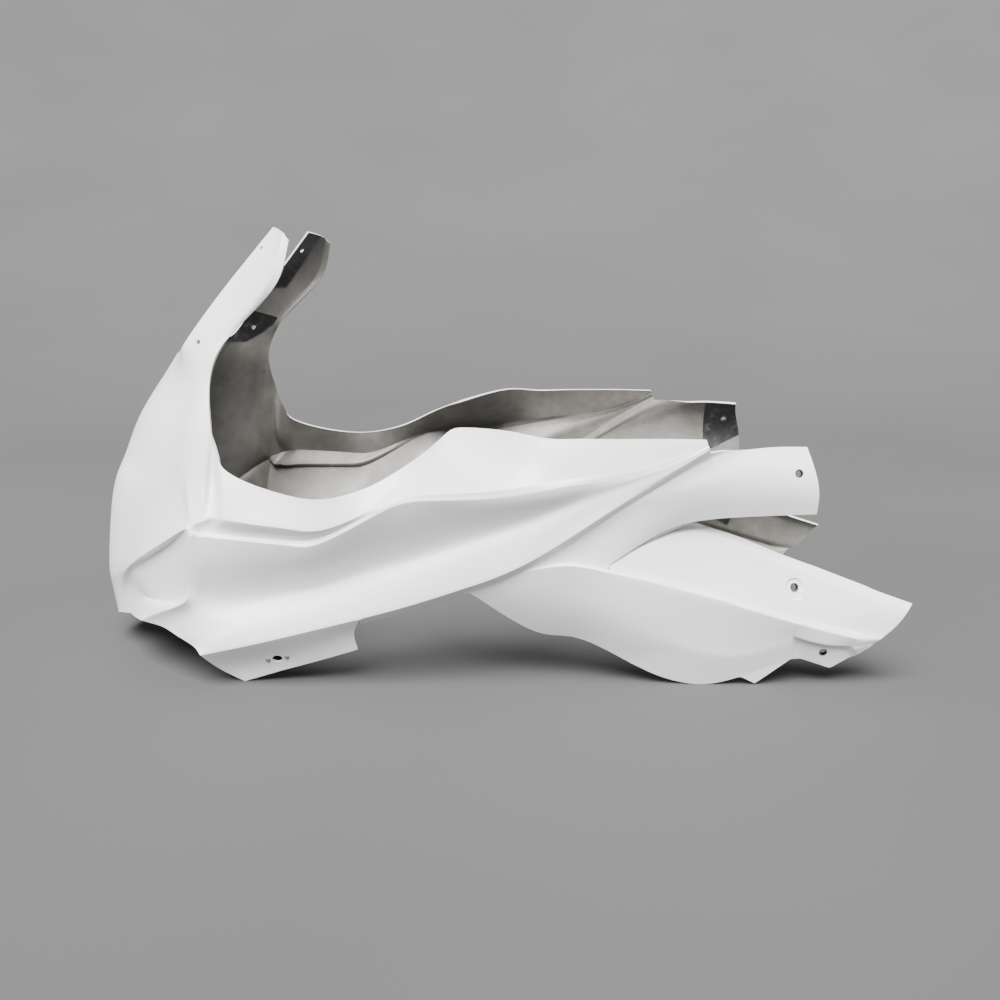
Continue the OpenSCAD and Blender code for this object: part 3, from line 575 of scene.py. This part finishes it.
# Dish round the panel's insert and the notch that drains it, as cones that end under the skin
def dishes(skinTree, side):
    place, axis = mounts["panel_insert_" + side]
    down = Vector(shell["notchAim"])
    down = (down - axis * down.dot(axis)).normalized()
    slope = (shell["dishTop"] - shell["dishLow"]) / shell["dishDepth"]
    reach = shell["coneDepths"] * shell["dishDepth"]
    notch = place + down * shell["notchDrop"] * mm
    found = []
    for spot, size in ((place, shell["dishLow"]), (notch, shell["notchWidth"])):
        surface = skinTree.ray_cast(spot + axis * shell["lookFrom"] * mm, -axis)[0]
        found.append((surface + axis * (reach / 2 - shell["dishDepth"]) * mm, axis,
                      size + slope * reach, size, reach))
    return found


# Holes at mounts: a dictionary of mount name and diameter
def holeCones(holes, side):
    depth = shell["holeCut"]
    return [(*mounts[f"{name}_{side}"], size, size, depth) for name, size in holes.items()]


# Rounds the edges of a piece that are sharper than an angle
def roundEdges(piece, width, steps, angle):
    rounding = piece.modifiers.new("edgeRounding", "BEVEL")
    rounding.width = width * mm
    rounding.segments = steps
    rounding.limit_method = "ANGLE"
    rounding.angle_limit = math.radians(angle)


def makeShell(skin):
    piece = link("moulding", skin.copy())
    piece.data.name = "moulding"
    for material in (gelcoat, laminate, cutEdge):
        piece.data.materials.append(material)
    skinTree = BVHTree.FromPolygons([v.co for v in skin.vertices],
                                    [p.vertices for p in skin.polygons])
    wall = piece.modifiers.new("wall", "SOLIDIFY")
    wall.thickness = shell["wall"] * mm
    wall.offset = -1
    wall.material_offset = 1
    wall.material_offset_rim = 2
    for side in sides:
        for dish in dishes(skinTree, side):
            settle(piece, cutCones(piece, [dish]))
    holes = [hole for side in sides for hole in holeCones(shell["holes"], side)]
    size, depth = shell["rivetHole"], shell["holeCut"]
    holes += [(*rivet, size, size, depth) for side in sides for rivet in rivetPlaces(side)]
    settle(piece, cutCones(piece, holes))
    roundEdges(piece, shell["edgeRound"], shell["edgeSteps"], shell["edgeAngle"])
    settle(piece)
    piece.data.set_sharp_from_angle(angle=math.radians(shell["smoothAngle"]))
    weighting = piece.modifiers.new("flatFaces", "WEIGHTED_NORMAL")
    weighting.keep_sharp = True
    settle(piece)
    print("moulding has", len(piece.data.polygons), "faces")
    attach(piece, "root")
    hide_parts("fairing_shell")


print("moulding")
skin = makeSkin()
makeShell(skin)


# User settings of the bonded patches, in mm. An outline is (x, z), seen from the side.
patches = {
    "thickness": 0.8,
    "cloths": {
        "arm_patch": {"blocks": ["arm"], "holes": {"screen_top": 5.5},
                      "outline": [(-235, 492), (-203, 482), (-247, 424), (-254, 416), (-285, 416),
                                  (-275, 440)]},
        "screen_patch": {"blocks": ["arm", "brow"], "holes": {"screen_low": 5.5},
                         "outline": [(-305, 390), (-268, 377), (-273, 370), (-289, 358),
                                     (-309, 347), (-332, 350), (-336, 372)]},
        "tail_patch": {"blocks": ["tail"], "holes": {"tail_insert": 9.05},
                       "outline": [(299, 270), (352, 270), (352, 217), (316, 199), (299, 192)]},
        "panel_patch": {"blocks": ["panelTop"], "holes": {"panel_insert": 9.05},
                        "outline": [(337, 88), (297, 109), (310, 149), (350, 128)]},
    },
}


# Part of the skin inside an outline, moved in by the wall
def clothMesh(name, side):
    settings = patches["cloths"][name]
    patch = bmesh.new()
    patch.from_mesh(skin)
    for v, normal in [(v, v.normal.copy()) for v in patch.verts]:
        v.co -= normal * shell["wall"] * mm
    blockOf = patch.faces.layers.int["block"]
    wanted = [blockNames.index(block) for block in settings["blocks"]]
    spare = [f for f in patch.faces
             if f[blockOf] not in wanted or f.calc_center_median().y * sides[side] < 0]
    bmesh.ops.delete(patch, geom=spare, context="FACES")
    outline = settings["outline"]
    middle = Vector((sum(p[0] for p in outline), 0, sum(p[1] for p in outline))) / len(outline)
    for a, b in zip(outline, outline[1:] + outline[:1]):
        start = Vector((a[0] - shell["middleX"], 0, a[1]))
        normal = Vector((b[1] - a[1], 0, a[0] - b[0])).normalized()
        if normal.dot(middle - Vector((a[0], 0, a[1]))) > 0:
            normal = -normal
        whole = patch.verts[:] + patch.edges[:] + patch.faces[:]
        bmesh.ops.bisect_plane(patch, geom=whole, dist=1e-6, plane_co=start * mm, plane_no=normal,
                               clear_outer=True)
    mesh = bpy.data.meshes.new(f"{name}_{side}_cloth")
    patch.to_mesh(mesh)
    patch.free()
    return mesh


def makePatch(name, side):
    piece = link(f"{name}_{side}_cloth", clothMesh(name, side))
    piece.data.materials.clear()
    piece.data.materials.append(carbon)
    cloth = piece.modifiers.new("cloth", "SOLIDIFY")
    cloth.thickness = patches["thickness"] * mm
    cloth.offset = -1
    settle(piece, cutCones(piece, holeCones(patches["cloths"][name]["holes"], side)))
    piece.data.set_sharp_from_angle(angle=math.radians(shell["smoothAngle"]))
    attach(piece, "root")
    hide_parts(f"{name}_{side}")


print("patches")
for name in patches["cloths"]:
    for side in sides:
        makePatch(name, side)


# User settings of the fixings, in mm and degrees, with the rounding of each kind's edges
fixings = {
    "insertBore": 6.5,
    "edgeAngle": 30,
    "edgeSteps": 2,
    "edgeRound": {"insert": 0.25, "receptacle": 0.2, "rivet": 0.15},
}


def fixingFinish(kind, name):
    if kind == "insert":
        return makeInsertMetal(*mounts[name], fixings["insertBore"])
    return blackPlate if kind == "receptacle" else rivetMetal


print("fixings")
for name, node in frame["nodes"].items():
    for kind, edgeRound in fixings["edgeRound"].items():
        if kind in name:
            node.data.materials.clear()
            node.data.materials.append(fixingFinish(kind, name))
            roundEdges(node, edgeRound, fixings["edgeSteps"], fixings["edgeAngle"])


# User settings of the studio, in metres and degrees
studio = {
    "floorRadius": 1.6,
    "curveRadius": 6,
    "curveAngle": 66,
    "curveSteps": 24,
    "aroundSteps": 96,
    "camera": (0.0165, -1.3, 0.455),
    "pitch": 12.55,
    "lens": 39.6,  # mm, as the sensor's width is
    "sensor": 36,
    "clipStart": 0.05,
    "keyAim": (0.14, 0.55, -0.823),
    "keyDistance": 3,
    "keyStrength": 13,
    "keySpread": 42,
    "fillPower": 3,
    "fillPlace": (1.9, -1.6, 1.6),
    "fillSize": 1.6,
    "aim": (0, 0, 0.2),
    "sky": 0.22,
}


# Round floor that curves up into a wall, seen the same from every side
def makeStage():
    flat, curve = studio["floorRadius"], studio["curveRadius"]
    steps, around = studio["curveSteps"], studio["aroundSteps"]
    profile = [(0, 0)]
    for i in range(steps + 1):
        turn = math.radians(studio["curveAngle"]) * i / steps
        profile.append((flat + curve * math.sin(turn), curve * (1 - math.cos(turn))))
    bowl = bmesh.new()
    rings = []
    for r, z in profile:
        spots = [2 * math.pi * i / around for i in range(around if r else 1)]
        rings.append([bowl.verts.new((r * math.cos(t), r * math.sin(t), z)) for t in spots])
    for inner, outer in zip(rings, rings[1:]):
        for i in range(around):
            j = (i + 1) % around
            ring = [outer[i], outer[j]] + (inner if len(inner) == 1 else [inner[j], inner[i]])
            bowl.faces.new(ring).smooth = True
    mesh = bpy.data.meshes.new("studioFloor")
    bowl.to_mesh(mesh)
    bowl.free()
    mesh.materials.append(makeFloor())
    link("studioFloor", mesh)


def makeLight(name, kind, place, power):
    lamp = bpy.data.lights.new(name, kind)
    lamp.energy = power
    light = link(name, lamp)
    light.location = place
    view = Vector(studio["aim"]) - Vector(place)
    light.rotation_euler = view.to_track_quat("-Z", "Y").to_euler()
    return lamp


print("stage")
makeStage()
keyPlace = Vector(studio["aim"]) - Vector(studio["keyAim"]) * studio["keyDistance"]
key = makeLight("keyLight", "SUN", keyPlace, studio["keyStrength"])
key.angle = math.radians(studio["keySpread"])
fill = makeLight("fillLight", "AREA", studio["fillPlace"], studio["fillPower"])
fill.shape = "RECTANGLE"
fill.size = fill.size_y = studio["fillSize"]
world = bpy.data.worlds.new("softSky")
world.use_nodes = True
sky = world.node_tree.nodes["Background"]
sky.inputs["Color"].default_value = (1, 1, 1, 1)
sky.inputs["Strength"].default_value = studio["sky"]
bpy.context.scene.world = world

lens = bpy.data.cameras.new("camera")
lens.lens = studio["lens"]
lens.sensor_width = studio["sensor"]
lens.clip_start = studio["clipStart"]
camera = link("camera", lens)
camera.location = studio["camera"]
camera.rotation_euler = (math.radians(90 - studio["pitch"]), 0, 0)
bpy.context.scene.camera = camera

print("done")
